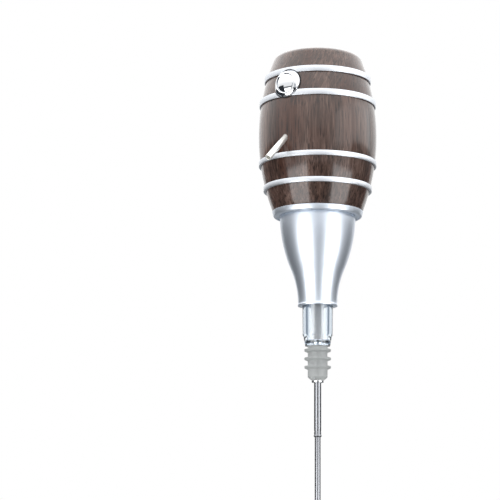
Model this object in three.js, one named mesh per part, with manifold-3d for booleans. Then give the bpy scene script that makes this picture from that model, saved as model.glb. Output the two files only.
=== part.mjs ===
// Electric cider pourer: a small barrel on a shouldered cone, a clear stopper neck with a finned plug, a
// telescopic suction tube below it, a push button and a spout.
// Millimetres, +Z up. The origin is on the axis, at the foot of the clear neck, where the stopper's taper
// starts. The front, with button and spout, faces -Y. An air pump in the barrel blows air down through the
// neck, and the drink rises through the suction tube and a hose to the spout.

import * as THREE from 'three';
import { mergeVertices } from 'three/addons/utils/BufferGeometryUtils.js';
import Module from 'manifold-3d';

const wasm = await Module();
wasm.setup();

// Clearances
const seatGap = 0.1;
const fitGap = 0.3;
const slipGap = 0.12;
const overrun = 1;

// Clear stopper neck
const neckShown = 29.3;
const neckFootRadius = 9.15;
const neckTaperRise = 6.9;
const neckTaperTopRadius = 10.45;
const neckStepRise = 1.1;
const neckRadius = 11;
const neckDraft = 0.35;
const neckBore = 7.3;
const neckFloor = 3.1;
const neckFloorRound = 2;
const neckFlangeLip = 2.2;
const neckFlangeThickness = 2.4;
const airHoleRadius = 0.8;
const airHoleInset = 0.2;

// Cone below the barrel
const coneHeight = 66.6;
const coneFootRadius = 14.3;
const coneWall = 1.8;
const coneFootLip = 0.25;
const coneFootLipHeight = 1.2;
const coneBendRise = 27.5;
const coneStraightFoot = 1.2;
const coneStraightTop = 1.3;
const coneLedgeRise = 14.7;
const coneLedgeWallHeight = 4;
const coneFlangeThickness = 3.5;
const coneFlangeWidth = 5.2;

// Barrel: widest at a share of its height
const barrelHeight = 117.5;
const bellyRadius = 43.7;
const bellyShare = 0.483;
const barrelWall = 2.4;
const shoulderRound = 6;
const shellSeamDrop = 36.9;
const coverSeamDrop = 18.5;
const spigotDepth = 5;
const spigotWall = 1.8;

// Hoops: the two upper ones hide the seams of the shells and the cover
const upperHoopWidth = 4.35;
const lowerHoopWidth = 3.7;
const lowerHoopRise = 33.4;
const bottomHoopRise = 14.7;
const hoopProud = 1.05;
const hoopSkin = 0.1;

// Base ring between cone and barrel
const ringHeight = 3.8;
const ringProud = 0.35;
const ringLipDrop = 0.5;
const ringLipRound = 1.5;
const ringLipWidth = 0.8;
const ringTaper = 0.75;
const ringStepWidth = 2.65;
const ringFloorThickness = 2.5;

// Suction tube, with its ferrule, sleeve and silicone plug
const upperTubeRadius = 2.6;
const upperTubeWall = 0.3;
const upperTubeReach = 66;
const upperTubeTop = 44;
const tubeBeadRadius = 2.95;
const tubeBeadHeight = 1.6;
const tubeCrimpDepth = 0.15;
const tubeCrimpRise = 4;
const lowerTubeRadius = 2.15;
const lowerTubeWall = 0.35;
const lowerTubeReach = 285;
const lowerTubeOverlap = 10;
const ferruleWall = 0.75;
const ferruleFlangeRadius = 4.4;
const ferruleFlangeHeight = 1.2;
const ferruleFootHeight = 1.4;
const sleeveRadius = 4.7;
const sleeveFootRadius = 3.7;
const sleeveStepHeight = 18.4;
const sleeveStepRise = 0.8;
const plugCoreRadius = 7.2;
const plugLength = 25;
const plugFinRadius = 9.7;
const plugFinThickness = 1.5;
const plugFinPitch = 6.2;
const plugFinDroop = 1.2;
const plugFinRootThickness = 2.2;
const plugFinCount = 3;
const plugFirstFinDrop = 2.6;

// Air manifold that closes the neck's top, its seal and its clamp ring
const sealThickness = 1.4;
const manifoldThickness = 3.5;
const nippleBore = 1;
const liquidNippleRadius = 2;
const airNippleRadius = 1.6;
const airNippleOffset = 7;
const clampRingHeight = 2.5;
const clampRingWidth = 5;

// Hoses
const hoseWall = 1;
const hoseSides = 6;

// Pump chassis, on the base ring's floor
const plateThickness = 2.5;
const postRadius = 3.2;
const postSpread = 35;
const hosePassRadius = 4.2;

// Air pump and its motor, standing at the back of the chassis
const headRadius = 11.3;
const pumpHoseGap = 1.25;
const headHeight = 20;
const headFloor = 6.8;
const headWall = 1.6;
const diaphragmThickness = 1.6;
const diaphragmBossRadius = 3;
const diaphragmBossHeight = 3.2;
const wobbleThickness = 1.6;
const wobbleHubRadius = 4.6;
const wobbleHubHeight = 2.3;
const crankOffset = 1.8;
const crankPinRadius = 0.9;
const crankPinLength = 2.2;
const crankDiscRadius = 5.6;
const crankDiscThickness = 1.8;
const shaftRadius = 1.5;
const shaftInMotor = 8;
const motorRadius = 10.8;
const motorBossRadius = 4;
const motorBossHeight = 1.2;
const motorRound = 1.5;
const motorHeadroom = 7;

// Check valve in the air line
const valveRadius = 4.2;
const valveHeight = 8;
const valveRimHeight = 2.5;
const valveRimProud = 0.6;
const airNippleLength = 4;

// Battery holder with its four round cells
const cellRadius = 7.1;
const cellLength = 49.2;
const cellNubRadius = 2.6;
const cellNubHeight = 1.3;
const cellSpacing = 15.9;
const cellSpringHeight = 2.5;
const cellSpringRadius = 5;
const cellSpringTipRadius = 2.2;
const holderWall = 1.4;
const holderFloor = 2.5;
const holderCellShown = 10;
const contactThickness = 1;

// Push button: bezel, cap, switch and board
const buttonDrop = 29.1;
const bezelStandOff = 1;
const bezelRadius = 10.5;
const bezelHeight = 2.4;
const bezelRimWidth = 0.5;
const bezelSleeveRadius = 8.4;
const bezelSleeveDepth = 9;
const bezelNutThickness = 2.2;
const bezelNutWidth = 1.5;
const buttonRadius = 7.1;
const buttonDome = 1.5;
const buttonEdgeDepth = 0.9;
const buttonEdgeRound = 0.5;
const buttonWall = 1.2;
const buttonFlangeWidth = 1.1;
const buttonFlangeThickness = 1.2;
const buttonStemRadius = 1.6;
const buttonTravel = 1.8;
const plungerRadius = 1.6;
const plungerHidden = 1.4;
const switchSide = 12;
const switchThickness = 4.8;
const boardThickness = 1.6;
const boardWidth = 26;
const boardHeight = 36;
const boardDrop = 22.5;
const boardPadWidth = 16;

// Spout
const spoutDrop = 70.2;
const spoutTilt = 41;
const spoutReach = 28.6;
const spoutRadius = 2.25;
const spoutBore = 1.45;
const spoutRimRound = 0.3;
const spoutBossRadius = 5.2;
const spoutBossDepth = 7;
const spoutSocketDepth = 4;
const elbowRadius = 4.5;
const elbowCornerDepth = 16;
const elbowEndDepth = 20;
const elbowHoseDrop = 9;
const elbowNippleLength = 6;

// Screws and leads
const screwRadius = 1.3;
const screwHeadRadius = 2.4;
const screwHeadHeight = 1.3;
const chassisScrewBite = 2.6;
const postScrewBite = 8;
const boardScrewBite = 4;
const edgeMargin = 1.1;
const screwHeadTaper = 0.55;
const leadRadius = 0.7;
const leadSpacing = 8;
const leadSides = 5;
const leadTurnShare = 0.67;
const leadRunShare = 0.5;

// Facets
const outerSides = 36;
const neckSides = 20;
const buttonSides = 24;
const innerSides = 16;
const smallSides = 12;
const screwSides = 8;

const degree = Math.PI / 180;
const quarterTurn = Math.PI / 2;
const fullTurn = 2 * Math.PI;

// Heights, from the foot of the clear neck upwards
const coneTopZ = neckShown + coneHeight;
const barrelFootZ = coneTopZ + ringHeight;
const barrelTopZ = barrelFootZ + barrelHeight;
const bellyZ = barrelFootZ + bellyShare * barrelHeight;
const shellSeamZ = barrelTopZ - shellSeamDrop;
const coverSeamZ = barrelTopZ - coverSeamDrop;
const coverCeilingZ = barrelTopZ - barrelWall;
const plateTopZ = coneTopZ + seatGap + ringFloorThickness + seatGap + plateThickness;

// Solid helpers

// Joins equal corners, drops facets that closed up and turns all faces outwards.
function welded(geometry) {
  geometry.deleteAttribute('normal');
  geometry.deleteAttribute('uv');
  const merged = mergeVertices(geometry);
  const corners = merged.index.array;
  const kept = [];
  for (let i = 0; i < corners.length; i += 3) {
    const [a, b, c] = corners.slice(i, i + 3);
    if (a !== b && b !== c && c !== a) kept.push(a, b, c);
  }
  const at = (i) => new THREE.Vector3().fromBufferAttribute(merged.attributes.position, i);
  let volume = 0;
  for (let i = 0; i < kept.length; i += 3) {
    volume += at(kept[i]).dot(at(kept[i + 1]).cross(at(kept[i + 2])));
  }
  merged.setIndex(volume < 0 ? kept.reverse() : kept);
  return merged;
}

function solidFrom(geometry) {
  const vertProperties = Float32Array.from(geometry.attributes.position.array);
  const triVerts = Uint32Array.from(geometry.index.array);
  return new wasm.Manifold(new wasm.Mesh({ numProp: 3, vertProperties, triVerts }));
}

function geometryFrom(solid) {
  const mesh = solid.getMesh();
  const geometry = new THREE.BufferGeometry();
  geometry.setAttribute('position', new THREE.BufferAttribute(mesh.vertProperties, 3));
  geometry.setIndex(new THREE.BufferAttribute(mesh.triVerts, 1));
  return geometry;
}

const cut = (base, ...tools) =>
  geometryFrom(tools.reduce((solid, tool) => solid.subtract(solidFrom(tool)), solidFrom(base)));

const joined = (...pieces) => geometryFrom(pieces.map(solidFrom).reduce((solid, piece) => solid.add(piece)));

const shared = (first, second) => geometryFrom(solidFrom(first).intersect(solidFrom(second)));

// A profile of [radius, height] points turned about Z. It starts and ends on the axis.
function turned(profile, sides) {
  const points = profile.map(([radius, z]) => new THREE.Vector2(radius, z));
  return welded(new THREE.LatheGeometry(points, sides).rotateX(quarterTurn));
}

const turnedRing = (profile, sides) => turned([...profile, profile[0]], sides);

const rod = (radius, fromZ, toZ, sides) =>
  turned([[0, fromZ], [radius, fromZ], [radius, toZ], [0, toZ]], sides);

const pipe = (outer, inner, fromZ, toZ, sides) =>
  turnedRing([[inner, fromZ], [outer, fromZ], [outer, toZ], [inner, toZ]], sides);

const box = (width, depth, height) => welded(new THREE.BoxGeometry(width, depth, height));

const arc = (centreR, centreZ, radius, from, to, steps) =>
  Array.from({ length: steps + 1 }, (_, i) => {
    const angle = from + ((to - from) * i) / steps;
    return [centreR + radius * Math.cos(angle), centreZ + radius * Math.sin(angle)];
  });

const steppedHeights = (fromZ, toZ, steps) =>
  Array.from({ length: steps + 1 }, (_, i) => fromZ + ((toZ - fromZ) * i) / steps);

// The radius whose polygon still clears a round piece of the given radius.
const clearing = (radius, sides) => radius / Math.cos(Math.PI / sides);

const polygon = (radius, sides) =>
  Array.from({ length: sides }, (_, i) => {
    const angle = (i * fullTurn) / sides;
    return new THREE.Vector2(radius * Math.cos(angle), radius * Math.sin(angle));
  });

// A round tube along a curve. A bore of zero leaves it solid.
function tubeAlong(path, radius, bore, sides, steps) {
  const section = new THREE.Shape(polygon(radius, sides));
  if (bore > 0) section.holes.push(new THREE.Path(polygon(bore, sides)));
  return welded(new THREE.ExtrudeGeometry(section, { steps, extrudePath: path }));
}

// An upright path: straight out of the lower end, an S bend, and straight into the upper end.
function sBend(from, to, lowerStraight, upperStraight) {
  const bendStart = from.clone().setZ(from.z + lowerStraight);
  const bendEnd = to.clone().setZ(to.z - upperStraight);
  const middleZ = (bendStart.z + bendEnd.z) / 2;
  const path = new THREE.CurvePath();
  path.add(new THREE.LineCurve3(from, bendStart));
  path.add(new THREE.CubicBezierCurve3(
    bendStart, bendStart.clone().setZ(middleZ), bendEnd.clone().setZ(middleZ), bendEnd));
  path.add(new THREE.LineCurve3(bendEnd, to));
  return path;
}

// Turns a piece made along +Z to face the front, with its own origin at the given depth and height.
const facingFront = (geometry, depth, z) => geometry.clone().rotateX(quarterTurn).translate(0, -depth, z);

const onAxis = (geometry, x, y) => geometry.clone().translate(x, y, 0);

// Finishes
const finish = (color, roughness, metalness, opacity = 1) =>
  new THREE.MeshStandardMaterial({ color, roughness, metalness, opacity, transparent: opacity < 1 });

const woodPrint = () => finish('#6a5a54', 0.35, 0);
const satinSilver = () => finish('#c9ccd0', 0.35, 0.8);
const chrome = () => finish('#e4e6e8', 0.08, 1);
const steel = () => finish('#cfd1d2', 0.25, 1);
const clearPlastic = () => finish('#eef2f5', 0.05, 0, 0.35);
const silicone = () => finish('#dfe2e2', 0.6, 0);
const hoseSilicone = () => finish('#e9e6df', 0.5, 0);
const blackPlastic = () => finish('#26272a', 0.55, 0);
const whitePlastic = () => finish('#d9d9d4', 0.5, 0);
const zincScrew = () => finish('#b9bcc0', 0.35, 1);
const boardGreen = () => finish('#2f6b45', 0.45, 0);
const cellJacket = () => finish('#3b3f45', 0.35, 0.3);
const copperLead = () => finish('#8f2b26', 0.5, 0);

const pourer = new THREE.Group();

function addPiece(name, geometry, material, parent = pourer) {
  const mesh = new THREE.Mesh(geometry, material);
  mesh.name = name;
  parent.add(mesh);
  return mesh;
}

// Copies of one piece, each with its own number
const addCopies = (name, geometries, material) =>
  geometries.map((geometry, i) => addPiece(`${name}_${i + 1}`, geometry, material()));

function addGroup(x, y, z, parent = pourer) {
  const group = new THREE.Group();
  group.position.set(x, y, z);
  parent.add(group);
  return group;
}

// The barrel's foot is as wide as the pump beside the drink hose needs it to be.
const liquidHoseRadius = clearing(liquidNippleRadius + slipGap, hoseSides) + hoseWall;
const pumpY = liquidHoseRadius + pumpHoseGap + headRadius;
const barrelFootRadius = pumpY + headRadius + edgeMargin + spigotWall + 2 * fitGap + barrelWall;

// Barrel form: the staves are one arc, upright at the belly

const staveBow = bellyRadius - barrelFootRadius;
const staveArc = ((bellyZ - barrelFootZ) ** 2 + staveBow ** 2) / (2 * staveBow);

const barrelRadiusAt = (z) => bellyRadius - staveArc + Math.sqrt(staveArc ** 2 - (z - bellyZ) ** 2);

const staves = (fromZ, toZ, steps, inset) =>
  steppedHeights(fromZ, toZ, steps).map((z) => [barrelRadiusAt(z) - inset, z]);

// The shoulder is a round that starts along the staves and ends level with the flat head.
const shoulderCentreZ = barrelTopZ - shoulderRound;
const shoulderLean = Math.asin((shoulderCentreZ - bellyZ) / (staveArc - shoulderRound));
const shoulderCentreR = bellyRadius - staveArc + (staveArc - shoulderRound) * Math.cos(shoulderLean);
const shoulderStartZ = shoulderCentreZ + shoulderRound * Math.sin(shoulderLean);

const shoulder = (inset, steps) =>
  arc(shoulderCentreR, shoulderCentreZ, shoulderRound - inset, shoulderLean, quarterTurn, steps);

// The solid barrel form, grown by a skin: what the front fittings are trimmed to.
const barrelForm = (skin) =>
  turned([
    [0, barrelFootZ],
    ...staves(barrelFootZ, shoulderStartZ, 16, -skin),
    ...shoulder(-skin, 5),
    [0, barrelTopZ + skin],
  ], outerSides);

// Radii that follow from the barrel's foot
const ringInnerRadius = barrelFootRadius - barrelWall - fitGap - spigotWall;
const ringTopRadius = barrelFootRadius + ringProud;
const ringLipRadius = ringTopRadius - ringTaper;
const ringRecessRadius = ringLipRadius - ringLipRound - ringLipWidth;
const coneTopRadius = ringRecessRadius - ringStepWidth;
const coneFlangeRadius = coneTopRadius - coneFlangeWidth;

// The spout's own frame: it starts on the barrel's surface, and its +Z runs out and down.
const spoutZ = barrelTopZ - spoutDrop;
const spoutStart = new THREE.Vector3(0, -barrelRadiusAt(spoutZ), spoutZ);
const spoutTurn = quarterTurn + spoutTilt * degree;

const alongSpout = (geometry) => {
  const placed = geometry.clone().rotateX(spoutTurn);
  return placed.translate(spoutStart.x, spoutStart.y, spoutStart.z);
};

// Height and depth of the button
const buttonZ = barrelTopZ - buttonDrop;
const bezelPlane = barrelRadiusAt(buttonZ) + bezelStandOff;

function addBarrel() {
  const shell = turnedRing([
    ...staves(barrelFootZ, shellSeamZ, 7, 0),
    ...staves(barrelFootZ, shellSeamZ, 3, barrelWall).reverse(),
  ], outerSides);
  const boss = shared(
    alongSpout(rod(spoutBossRadius, -spoutBossDepth, spoutBossRadius, innerSides)), barrelForm(-fitGap));
  const spoutHole = alongSpout(
    rod(spoutRadius + fitGap, -spoutBossDepth - overrun, spoutBossRadius + overrun, innerSides));
  const bezelHole = facingFront(
    rod(bezelSleeveRadius + fitGap, -bezelSleeveDepth - overrun, overrun, buttonSides), bezelPlane, buttonZ);
  addPiece('barrel_lower', cut(joined(shell, boss), spoutHole, bezelHole), woodPrint());

  // The upper shell has a spigot that drops into the lower one
  const spigotRadius = barrelRadiusAt(shellSeamZ) - barrelWall - fitGap;
  const upperShell = turnedRing([
    [spigotRadius - spigotWall, shellSeamZ - spigotDepth],
    [spigotRadius, shellSeamZ - spigotDepth],
    [spigotRadius, shellSeamZ + seatGap],
    ...staves(shellSeamZ + seatGap, coverSeamZ - seatGap, 2, 0),
    ...staves(shellSeamZ + spigotDepth, coverSeamZ - seatGap, 1, barrelWall).reverse(),
  ], outerSides);
  addPiece('barrel_upper', cut(upperShell, bezelHole), woodPrint());
}

// The cover closes the battery space, lifts straight off and carries the top hoop.
function addCover() {
  const spigotRadius = barrelRadiusAt(coverSeamZ) - barrelWall - fitGap;
  const cap = turned([
    [0, coverCeilingZ],
    ...shoulder(barrelWall, 2).reverse(),
    [spigotRadius - spigotWall, coverSeamZ],
    [spigotRadius - spigotWall, coverSeamZ - spigotDepth],
    [spigotRadius, coverSeamZ - spigotDepth],
    [spigotRadius, coverSeamZ],
    ...staves(coverSeamZ, shoulderStartZ, 2, 0),
    ...shoulder(0, 4).slice(1),
    [0, barrelTopZ],
  ], outerSides);
  const nutRoomRadius = bezelSleeveRadius + bezelNutWidth + fitGap;
  const nutRoom = facingFront(
    rod(nutRoomRadius, -2 * bezelSleeveDepth, 0, buttonSides), bezelPlane, buttonZ);
  addPiece('battery_cover', cut(cap, nutRoom), woodPrint());

  const contactTopZ = coverCeilingZ - seatGap;
  const contactRadius = cellSpacing / Math.SQRT2 + cellRadius;
  addPiece('cover_contact',
    rod(contactRadius, contactTopZ - contactThickness, contactTopZ, innerSides), steel());
}

function addHoops() {
  const bezelRoom = facingFront(
    rod(bezelRadius + fitGap, -bezelSleeveDepth, bezelSleeveDepth, buttonSides), bezelPlane, buttonZ);
  const hoops = {
    hoop_top: [coverSeamZ - upperHoopWidth / 2, upperHoopWidth],
    hoop_upper: [shellSeamZ - upperHoopWidth / 2, upperHoopWidth],
    hoop_lower: [barrelFootZ + lowerHoopRise, lowerHoopWidth],
    hoop_bottom: [barrelFootZ + bottomHoopRise, lowerHoopWidth],
  };
  Object.entries(hoops).forEach(([name, [startZ, width]]) => {
    const endZ = startZ + width;
    const radius = Math.max(barrelRadiusAt(startZ), barrelRadiusAt(endZ)) + hoopProud;
    const band = turnedRing([
      [radius, startZ],
      [radius, endZ],
      ...staves(startZ, endZ, 1, -hoopSkin).reverse(),
    ], outerSides);
    addPiece(name, startZ > spoutZ ? cut(band, bezelRoom) : band, satinSilver());
  });
}

// Base ring: its floor carries the chassis, its spigot stands in the barrel, its lip hides the cone's top.
function addBaseRing() {
  const lipZ = coneTopZ - ringLipDrop;
  const floorZ = coneTopZ + seatGap;
  const ring = turnedRing([
    [coneFlangeRadius, floorZ],
    [ringRecessRadius, floorZ],
    [ringRecessRadius, lipZ],
    ...arc(ringLipRadius - ringLipRound, lipZ + ringLipRound, ringLipRound, -quarterTurn, 0, 3),
    [ringTopRadius, barrelFootZ - seatGap],
    [ringInnerRadius + spigotWall, barrelFootZ - seatGap],
    [ringInnerRadius + spigotWall, barrelFootZ + spigotDepth],
    [ringInnerRadius, barrelFootZ + spigotDepth],
    [ringInnerRadius, floorZ + ringFloorThickness],
    [coneFlangeRadius, floorZ + ringFloorThickness],
  ], outerSides);
  const screwHole = rod(screwRadius + fitGap, coneTopZ, plateTopZ, screwSides);
  addPiece('base_ring', cut(ring, ...atChassisScrews(screwHole)), satinSilver());
}

// Cone form: two arcs that meet in a slant, one for the shoulder and one for the neck

const coneLowZ = neckShown + coneStraightFoot;
const coneHighZ = coneTopZ + coneStraightTop;
const coneBendZ = neckShown + coneBendRise;

function coneRadiusAt(z) {
  const lean = 2 * Math.atan((coneTopRadius - coneFootRadius) / (coneHighZ - coneLowZ));
  const shoulderArc = (coneHighZ - coneBendZ) / Math.sin(lean);
  const neckArc = (coneBendZ - coneLowZ) / Math.sin(lean);
  if (z > coneBendZ) return coneTopRadius - shoulderArc + Math.sqrt(shoulderArc ** 2 - (coneHighZ - z) ** 2);
  const rise = Math.max(z - coneLowZ, 0);
  return coneFootRadius + neckArc - Math.sqrt(neckArc ** 2 - rise ** 2);
}

const coneSide = (fromZ, toZ, steps, inset) =>
  steppedHeights(fromZ, toZ, steps).map((z) => [coneRadiusAt(z) - inset, z]);

const neckTopRadius = neckRadius + neckDraft;
const ledgeZ = neckShown + coneLedgeRise;
const ledgeRadius = neckTopRadius + neckFlangeLip;

function addCone() {
  const coneFlangeFootZ = coneTopZ - coneFlangeThickness;
  const skirt = turnedRing([
    [neckTopRadius + fitGap, neckShown],
    [coneFootRadius + coneFootLip, neckShown],
    [coneFootRadius + coneFootLip, neckShown + coneFootLipHeight],
    ...coneSide(neckShown + coneFootLipHeight, coneTopZ, 9, 0),
    [coneFlangeRadius, coneTopZ],
    [coneFlangeRadius, coneFlangeFootZ],
    ...coneSide(ledgeZ + coneLedgeWallHeight, coneFlangeFootZ, 4, coneWall).reverse(),
    [ledgeRadius + fitGap, ledgeZ + coneLedgeWallHeight / 2],
    [ledgeRadius + fitGap, ledgeZ],
    [neckTopRadius + fitGap, ledgeZ],
  ], outerSides);
  const screwHole = rod(
    screwRadius + seatGap, coneTopZ - chassisScrewBite - seatGap, coneTopZ + overrun, screwSides);
  addPiece('cone_skirt', cut(skirt, ...atChassisScrews(screwHole)), satinSilver());
}

// Clear neck: a tapered foot, and a floor with the ferrule's hole and two air holes

const flangeFootZ = ledgeZ + seatGap + sealThickness + seatGap;
const flangeTopZ = flangeFootZ + neckFlangeThickness;
const ferruleRadius = upperTubeRadius + slipGap + ferruleWall;

const airHoles = (fromZ, toZ) => {
  const hole = rod(airHoleRadius, fromZ, toZ, screwSides);
  const reach = ferruleFlangeRadius + airHoleRadius + airHoleInset;
  return [onAxis(hole, -reach, 0), onAxis(hole, reach, 0)];
};

function addNeck() {
  const boreTop = neckBore + neckDraft;
  const neck = turnedRing([
    [ferruleRadius + seatGap, 0],
    [neckFootRadius, 0],
    [neckTaperTopRadius, neckTaperRise],
    [neckRadius, neckTaperRise + neckStepRise],
    [neckTopRadius, flangeFootZ],
    [ledgeRadius, flangeFootZ],
    [ledgeRadius, flangeTopZ],
    [boreTop, flangeTopZ],
    ...arc(neckBore - neckFloorRound, neckFloor + neckFloorRound, neckFloorRound, 0, -quarterTurn, 3),
    [ferruleRadius + seatGap, neckFloor],
  ], neckSides);
  addPiece('clear_neck', cut(neck, ...airHoles(-overrun, neckFloor + overrun)), clearPlastic());

  addPiece('neck_seal',
    pipe(ledgeRadius - seatGap, neckTopRadius + seatGap, ledgeZ + seatGap, ledgeZ + seatGap + sealThickness,
      neckSides), silicone());
}

// The manifold leads the rising drink to its middle nipple and takes the air in at its side nipple.
const manifoldZ = flangeTopZ + seatGap;
const manifoldTopZ = manifoldZ + manifoldThickness;
const nippleTopZ = manifoldTopZ + clampRingHeight + airNippleLength;

function addManifold() {
  const disc = rod(ledgeRadius, manifoldZ, manifoldTopZ, neckSides);
  const liquidNipple = rod(liquidNippleRadius, manifoldZ + seatGap, nippleTopZ, smallSides);
  const airNipple = rod(airNippleRadius, manifoldZ + seatGap, nippleTopZ, smallSides);
  const bore = rod(nippleBore, manifoldZ - overrun, nippleTopZ + overrun, screwSides);
  addPiece('air_manifold', cut(
    joined(disc, liquidNipple, onAxis(airNipple, 0, airNippleOffset)),
    bore, onAxis(bore, 0, airNippleOffset)), whitePlastic());

  const clampZ = manifoldTopZ + seatGap;
  const clampRadius = coneRadiusAt(clampZ) - coneWall - fitGap;
  addPiece('neck_clamp_ring',
    pipe(clampRadius, clampRadius - clampRingWidth, clampZ, clampZ + clampRingHeight, neckSides),
    blackPlastic());
}

// Ferrule, sleeve, plug and the two tubes, all on the axis
function addSuctionLine() {
  const flangeZ = neckFloor + seatGap;
  const footZ = -seatGap - plugLength - seatGap;
  addPiece('tube_ferrule', turnedRing([
    [upperTubeRadius + slipGap, footZ - ferruleFootHeight],
    [ferruleFlangeRadius, footZ - ferruleFootHeight],
    [ferruleFlangeRadius, footZ],
    [ferruleRadius, footZ],
    [ferruleRadius, flangeZ],
    [ferruleFlangeRadius, flangeZ],
    [ferruleFlangeRadius, flangeZ + ferruleFlangeHeight],
    [upperTubeRadius + slipGap, flangeZ + ferruleFlangeHeight],
  ], innerSides), steel());

  const sleeveFootZ = flangeZ + ferruleFlangeHeight + seatGap;
  addPiece('riser_sleeve', turnedRing([
    [upperTubeRadius + slipGap, sleeveFootZ],
    [sleeveFootRadius, sleeveFootZ],
    [sleeveFootRadius, sleeveStepHeight],
    [sleeveRadius, sleeveStepHeight + sleeveStepRise],
    [sleeveRadius, manifoldZ - seatGap],
    [upperTubeRadius + slipGap, manifoldZ - seatGap],
  ], innerSides), clearPlastic());

  const fins = Array.from({ length: plugFinCount }, (_, i) => {
    const finZ = -plugFirstFinDrop - i * plugFinPitch;
    return [
      [plugCoreRadius, finZ],
      [plugFinRadius, finZ - plugFinDroop + plugFinThickness],
      [plugFinRadius, finZ - plugFinDroop],
      [plugCoreRadius, finZ - plugFinRootThickness],
    ];
  }).flat();
  const plug = turnedRing([
    [ferruleRadius + seatGap, -seatGap],
    [plugCoreRadius, -seatGap],
    ...fins,
    [plugCoreRadius, -plugLength + plugFinRootThickness],
    [ferruleFlangeRadius, -plugLength - seatGap],
    [ferruleRadius + seatGap, -plugLength - seatGap],
  ], neckSides);
  addPiece('stopper_plug', cut(plug, ...airHoles(-plugLength - overrun, overrun)), silicone());

  const upperBore = upperTubeRadius - upperTubeWall;
  const crimpZ = -upperTubeReach + tubeCrimpRise;
  addPiece('suction_tube_upper', turnedRing([
    [upperBore, -upperTubeReach],
    [upperTubeRadius, -upperTubeReach],
    [tubeBeadRadius, -upperTubeReach + tubeBeadHeight / 2],
    [upperTubeRadius, -upperTubeReach + tubeBeadHeight],
    [upperTubeRadius, crimpZ - tubeBeadHeight / 2],
    [upperTubeRadius - tubeCrimpDepth, crimpZ],
    [upperTubeRadius, crimpZ + tubeBeadHeight / 2],
    [upperTubeRadius, upperTubeTop],
    [upperBore, upperTubeTop],
  ], smallSides), steel());

  addPiece('suction_tube_lower',
    pipe(lowerTubeRadius, lowerTubeRadius - lowerTubeWall, -lowerTubeReach,
      -upperTubeReach + lowerTubeOverlap, smallSides), steel());
}

// Chassis: a floor plate on the base ring with four posts for the battery holder

const postRing = ringInnerRadius - fitGap - postRadius - edgeMargin;
const screwRing = coneTopRadius - coneFlangeWidth / 2;
const holderFootZ = coverCeilingZ - seatGap - contactThickness - fitGap - cellNubHeight - cellLength
  - cellSpringHeight - holderFloor;

const postPlaces = [postSpread, 180 - postSpread, 180 + postSpread, -postSpread]
  .map((angle) => [postRing * Math.cos(angle * degree), postRing * Math.sin(angle * degree)]);

const chassisScrewPlaces = [0, 180, 270]
  .map((angle) => [screwRing * Math.cos(angle * degree), screwRing * Math.sin(angle * degree)]);

const atPosts = (geometry) => postPlaces.map(([x, y]) => onAxis(geometry, x, y));

function atChassisScrews(geometry) {
  return chassisScrewPlaces.map(([x, y]) => onAxis(geometry, x, y));
}

const screw = (headZ, bite) =>
  turned([
    [0, headZ - bite],
    [screwRadius, headZ - bite],
    [screwRadius, headZ],
    [screwHeadRadius, headZ],
    [screwHeadRadius - screwHeadTaper, headZ + screwHeadHeight],
    [0, headZ + screwHeadHeight],
  ], screwSides);

function addChassis() {
  const plateFootZ = plateTopZ - plateThickness;
  const plate = rod(ringInnerRadius - fitGap, plateFootZ, plateTopZ, outerSides);
  const post = rod(postRadius, plateFootZ + seatGap, holderFootZ - seatGap, smallSides);
  const through = (radius) => rod(radius, plateFootZ - overrun, plateTopZ + overrun, smallSides);
  const postBore = rod(screwRadius + seatGap, holderFootZ - postScrewBite, holderFootZ + overrun, screwSides);
  addPiece('pump_chassis', cut(
    joined(plate, ...atPosts(post)),
    through(hosePassRadius),
    onAxis(through(airNippleRadius + hoseWall), 0, pumpY),
    ...atChassisScrews(through(screwRadius + fitGap)),
    ...atPosts(postBore)), blackPlastic());

  const bite = plateThickness + 2 * seatGap + ringFloorThickness + chassisScrewBite;
  addCopies('chassis_screw', atChassisScrews(screw(plateTopZ + seatGap, bite)), zincScrew);
}

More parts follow.
